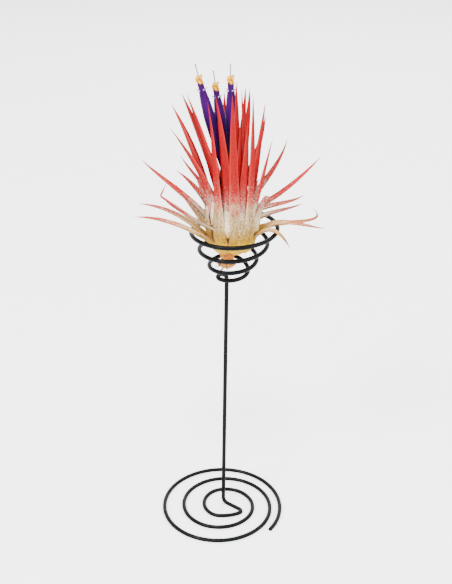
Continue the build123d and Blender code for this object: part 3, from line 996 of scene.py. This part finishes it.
def filament_column(name, foot, lip):
    """Filaments: a column out of the tube, its radius waved into six slowly turning grooves."""
    heading = unit(lip - foot)
    share = np.linspace(0.0, 1.0, 30)

    def grooves(turn, s):
        """One plus a cosine wave round the column, turned a little along it."""
        return 1.0 + GROOVE_DEPTH * np.cos(COLUMN_GROOVES * turn + GROOVE_TWIST * s)

    return turned(name, lip - heading * COLUMN_UNDER_LIP, heading,
                  np.interp(share, *COLUMN_OUTLINE), share * COLUMN_LENGTH,
                  around=36, ripple=grooves, first=COLUMN_VIOLET)


def knobs(phase, turn, share):
    """One plus a sine wave that runs both round an anther and along it."""
    return 1 + KNOB_DEPTH * np.sin(KNOBS_ROUND * turn + KNOBS_ALONG * share + phase)


def anther_head(name, foot, lip):
    """Anthers: nine ellipsoids in a winding stair round the filaments' top, each made knobbly
    by a wave and laid at a seeded slant."""
    heading = unit(lip - foot)
    side, other = square_to(heading)
    rng = np.random.default_rng(ANTHER_SEED)
    share = np.linspace(0.02, 0.98, 16)
    reaches = ANTHER_REACH * np.sin(np.pi * share) ** 0.5
    made = []
    for index in range(ANTHER_COUNT):
        turn = ANTHER_TURN * index
        out = side * np.cos(turn) + other * np.sin(turn)
        rise = ANTHER_LOWEST + ANTHER_STEP * index + rng.uniform(*ANTHER_JITTER)
        lay = unit(heading + out * rng.uniform(*ANTHER_LEAN)
                   + np.cross(heading, out) * rng.uniform(*ANTHER_SLANT))
        start = lip + heading * rise + out * rng.uniform(*ANTHER_OUT) - lay * ANTHER_BACK
        made.append(turned(
            f"{name}_{index}", start, lay, reaches, share * rng.uniform(*ANTHER_LENGTH),
            around=12, ripple=partial(knobs, index)))
    return merged(name, made)


def style_thread(name, foot, lip):
    """Style: a straight thin thread that swells into a small knob at its tip."""
    heading = unit(lip - foot)
    share = np.linspace(0.0, 1.0, 40)
    closed = 1 - smooth(share, *KNOB_CLOSES) * KNOB_CLOSED_SHARE
    reach = STYLE_REACH + STYLE_KNOB * smooth(share, *KNOB_SWELLS) * closed
    return thread(name, lip + heading * (share[:, None] * STYLE_LENGTH), reach, around=10)


# Assembly

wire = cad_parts["wire_stand"]
wire.data.materials.clear()
wire.data.materials.append(coated_wire())

# For each ring of leaves: its slot and its finish.
leaf_finishes = {
    "outer_leaf": ("outer_leaves", leaf_skin(
        "outer_leaf_skin", cream=tint(204, 182, 132), coral=tint(178, 26, 32),
        red=tint(162, 2, 14), tip=tint(104, 76, 34))),
    "second_leaf": ("second_leaves", leaf_skin(
        "second_leaf_skin", cream=tint(214, 200, 168), coral=tint(180, 18, 26),
        red=tint(162, 1, 13), tip=tint(104, 70, 40))),
    "third_leaf": ("upper_leaves", leaf_skin(
        "third_leaf_skin", cream=tint(218, 206, 180), coral=tint(176, 8, 18),
        red=tint(158, 0, 12), tip=tint(110, 44, 36))),
    "inner_leaf": ("upper_leaves", leaf_skin(
        "inner_leaf_skin", cream=tint(196, 160, 130), coral=tint(168, 3, 14),
        red=tint(148, 0, 11), tip=tint(126, 26, 24))),
}
for ring_name, rows in LEAVES.items():
    ring = RINGS[ring_name]
    for index, row in enumerate(rows):
        node = f"{ring_name}_{index + 1:02d}"
        base_angle = ring.first_angle + index * 360 / len(rows)
        blade = leaf_piece(f"{node}_blade", base_angle, ring, Leaf(*row), FOLDS.get(node))
        settle(blade, *leaf_finishes[ring_name], node)

for number, (base_angle, row) in enumerate(SHEATHS, 1):
    sheath = leaf_piece(f"short_sheath_{number}", base_angle, RINGS["outer_leaf"], Leaf(*row))
    settle(sheath, *leaf_finishes["outer_leaf"])

fibre = dead_root()
settle(bulb(), "bulb", bulb_skin(), "rosette_core")
settle(root_stub(), "root", root_bark(), "root_stub")
settle(root_dish(), "dry_root", fibre, "root_tail")
settle(dead_shoots(), "dry_root", fibre, "dry_shoots")

violet, lilac, grains, wax = petal_skin(), petal_fringe(), pollen(), pale_style()
for number, (foot_shares, lip_shares) in enumerate(FLOWERS, 1):
    flower = f"flower_{number}"
    foot, lip = among_leaves(*foot_shares), among_leaves(*lip_shares)
    settle(petal_tube(f"{flower}_petals", foot, lip), "petals", violet, f"{flower}_tube")
    settle(petal_tips(f"{flower}_petal_tips", foot, lip), "petals", lilac)
    settle(filament_column(f"{flower}_anthers_column", foot, lip), "petals", violet)
    settle(anther_head(f"{flower}_anthers", foot, lip), "anthers", grains, f"{flower}_stamens")
    settle(style_thread(f"{flower}_thread", foot, lip), "styles", wax, f"{flower}_style")


# Floor, light and camera

# Floor: half its width and its height, in millimetres.
FLOOR_HALF = 4000.0
FLOOR_HEIGHT = -0.02

# Lights: name, place and aim in metres, size in metres and power in watts.
LIGHTS = [
    ("key_light", (-0.9, -0.9, 1.5), (0.0, 0.0, 0.12), 0.5, 46.0),
    ("fill_light", (1.2, -0.7, 1.0), (0.0, 0.0, 0.12), 1.2, 20.0),
    ("back_light", (0.2, 1.3, 1.3), (0.0, 0.0, 0.15), 1.0, 24.0),
    ("top_light", (-0.1, -0.55, 1.3), (0.0, 0.0, 0.15), 0.20, 14.0),
]
STUDIO_COLOUR = (0.93, 0.94, 0.96, 1.0)
STUDIO_STRENGTH = 3.1

# Camera: its place in metres, how far down it looks in degrees, and its lens.
CAMERA_PLACE = (-0.00226, -0.3718, 0.3009)
CAMERA_DOWN = 25.85
CAMERA_LENS = 55.73
CAMERA_NEAR, CAMERA_FAR = 0.01, 20.0


def flat_sheet(name, half, height, finish):
    """Flat level square at a height, its middle on the frame's axis."""
    corners = np.array([[-half, -half, height], [half, -half, height],
                        [half, half, height], [-half, half, height]])
    mesh = bpy.data.meshes.new(name)
    mesh.from_pydata((corners * MM).tolist(), [], [(0, 1, 2, 3)])
    mesh.materials.append(finish)
    sheet = bpy.data.objects.new(name, mesh)
    bpy.context.scene.collection.objects.link(sheet)


def soft_box(name, place, aim, size, power):
    """Square soft light at a place, turned to face a point."""
    data = bpy.data.lights.new(name, "AREA")
    data.size = size
    data.energy = power
    lamp = bpy.data.objects.new(name, data)
    lamp.location = place
    lamp.rotation_euler = (Vector(aim) - Vector(place)).to_track_quat("-Z", "Y").to_euler()
    bpy.context.scene.collection.objects.link(lamp)


flat_sheet("floor_paper", FLOOR_HALF, FLOOR_HEIGHT, paper_floor())
for light in LIGHTS:
    soft_box(*light)

world = bpy.data.worlds.new("studio")
world.use_nodes = True
background = world.node_tree.nodes["Background"]
background.inputs["Color"].default_value = STUDIO_COLOUR
background.inputs["Strength"].default_value = STUDIO_STRENGTH
bpy.context.scene.world = world

camera_data = bpy.data.cameras.new("camera")
camera_data.lens = CAMERA_LENS
camera_data.clip_start = CAMERA_NEAR
camera_data.clip_end = CAMERA_FAR
camera = bpy.data.objects.new("camera", camera_data)
camera.location = CAMERA_PLACE
camera.rotation_euler = (radians(90 - CAMERA_DOWN), 0.0, 0.0)
bpy.context.scene.collection.objects.link(camera)
bpy.context.scene.camera = camera
